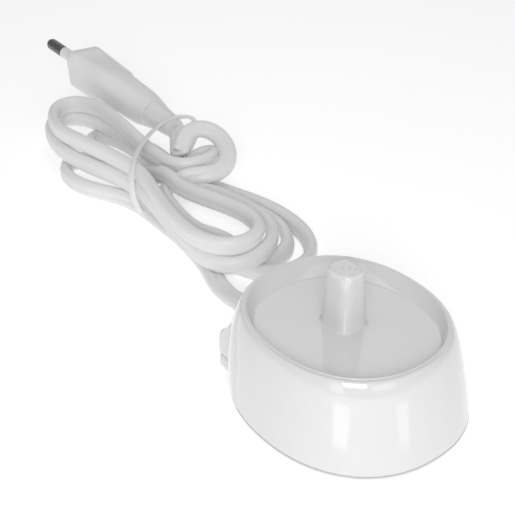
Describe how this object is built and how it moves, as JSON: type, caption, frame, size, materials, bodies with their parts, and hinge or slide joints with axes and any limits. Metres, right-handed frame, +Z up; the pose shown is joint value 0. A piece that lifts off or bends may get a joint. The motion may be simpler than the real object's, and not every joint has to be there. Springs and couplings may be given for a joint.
{
  "type": "electric toothbrush charging stand",
  "caption": "Oval inductive charging stand with a central post and a shallow dish, its flat mains cord folded in a tied hank and ending in a two-pin plug.",
  "frame": {"origin": "middle of the stand's underside, on the surface that it stands on", "axes": "+Z up, +Y to the rear where the cord leaves the stand, +X to the right seen from the front"},
  "size_m": [0.0777, 0.2222, 0.0364],
  "materials": {
    "gloss_white": "glossy moulded, faint mould flow",
    "cord_white": "satin flexible PVC",
    "plug_white": "satin moulded PVC, soft edges",
    "tie_white": "satin polythene band",
    "natural_nylon": "unpainted nylon",
    "nickel_plate": "nickel plated",
    "ferrite": "matt sintered",
    "enamelled_copper": "enamelled copper wire, wound",
    "board_laminate": "paper laminate",
    "capacitor_sleeve": "shrink sleeve",
    "film_epoxy": "glossy yellow",
    "black_epoxy": "matt moulded",
    "blue_lacquer": "dipped lacquer",
    "sand_cement": "matt coating",
    "brown_pvc": "satin",
    "blue_pvc": "satin"
  },
  "bodies": {
    "root": {"housing": "gloss_white", "base_plate": "gloss_white", "ferrite_core": "ferrite", "coil_bobbin": "natural_nylon", "primary_coil": "enamelled_copper", "feedback_coil": "enamelled_copper", "circuit_board": "board_laminate", "electrolytic_capacitor": "capacitor_sleeve", "choke": "ferrite", "film_capacitor": "film_epoxy", "power_transistor": "black_epoxy", "ceramic_capacitor": "blue_lacquer", "fusible_resistor": "sand_cement", "rectifier_diode_1": "black_epoxy", "rectifier_diode_2": "black_epoxy", "rectifier_diode_3": "black_epoxy", "rectifier_diode_4": "black_epoxy", "live_wire": "brown_pvc", "neutral_wire": "blue_pvc", "cord_clamp": "natural_nylon", "cord_relief": "cord_white", "cord_lead": "cord_white", "cord_hank": "cord_white", "cord_turn": "cord_white", "cord_tie": "tie_white", "plug_body": "plug_white", "plug_bridge": "natural_nylon", "plug_relief": "plug_white", "pin_1": "nickel_plate", "pin_2": "nickel_plate", "pin_sleeve_1": "plug_white", "pin_sleeve_2": "plug_white"}
  },
  "joints": []
}
